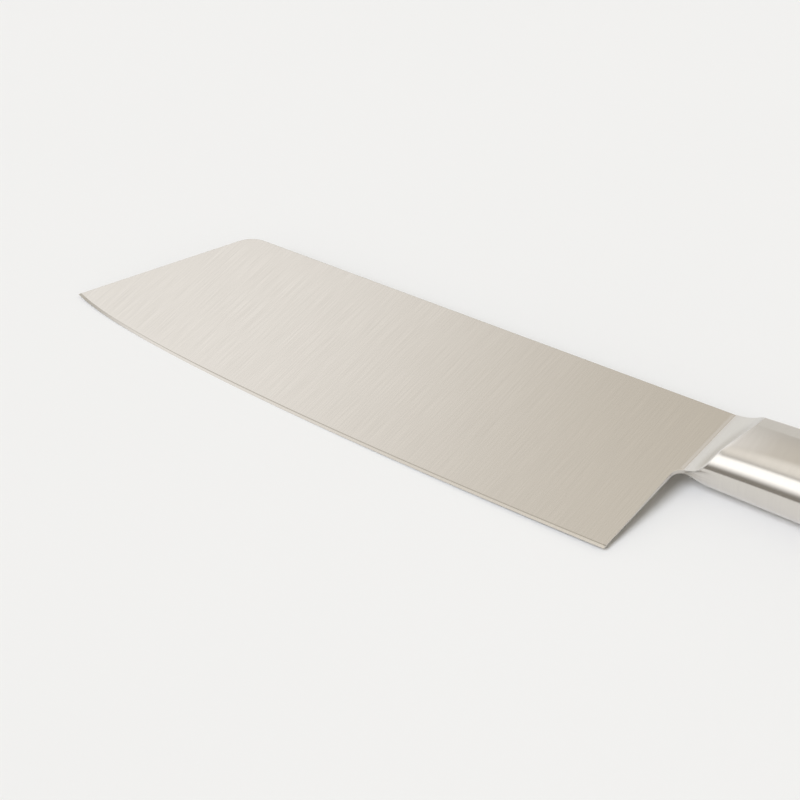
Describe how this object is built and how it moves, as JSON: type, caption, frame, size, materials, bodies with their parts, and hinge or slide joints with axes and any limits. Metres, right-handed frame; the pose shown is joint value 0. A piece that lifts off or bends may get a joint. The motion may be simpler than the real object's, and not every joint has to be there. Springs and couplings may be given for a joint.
{
  "type": "cleaver-style chef knife",
  "caption": "All-steel kitchen knife with a tall cleaver-style blade, a slanted end, a gently curved edge and a hollow faceted handle that flares from the blade's neck.",
  "frame": {"origin": "under the middle of the part's box, on the plane that the handle's right side touches when the blade is level", "axes": "+X from the tip to the butt, +Y from the cutting edge to the spine, +Z across the blade towards its left side"},
  "size_m": [0.325, 0.0586, 0.0196],
  "materials": {
    "blade_satin_steel": "fine satin brushed across the blade, with a honed bevel along the edge",
    "handle_polished_steel": "polished, with welds ground flush",
    "inner_plain_steel": "as machined, out of sight"
  },
  "bodies": {
    "root": {"blade": "blade_satin_steel", "bolster": "handle_polished_steel", "neck_weld_left": "handle_polished_steel", "neck_weld_right": "handle_polished_steel", "handle_shell_left": "handle_polished_steel", "handle_shell_right": "handle_polished_steel", "front_ring_weld": "handle_polished_steel", "rear_ring_weld": "handle_polished_steel", "spine_seam_weld": "handle_polished_steel", "belly_seam_weld": "handle_polished_steel", "butt_cap": "handle_polished_steel", "balance_weight": "inner_plain_steel", "tang_rivet_front": "inner_plain_steel", "tang_rivet_rear": "inner_plain_steel"}
  },
  "joints": []
}
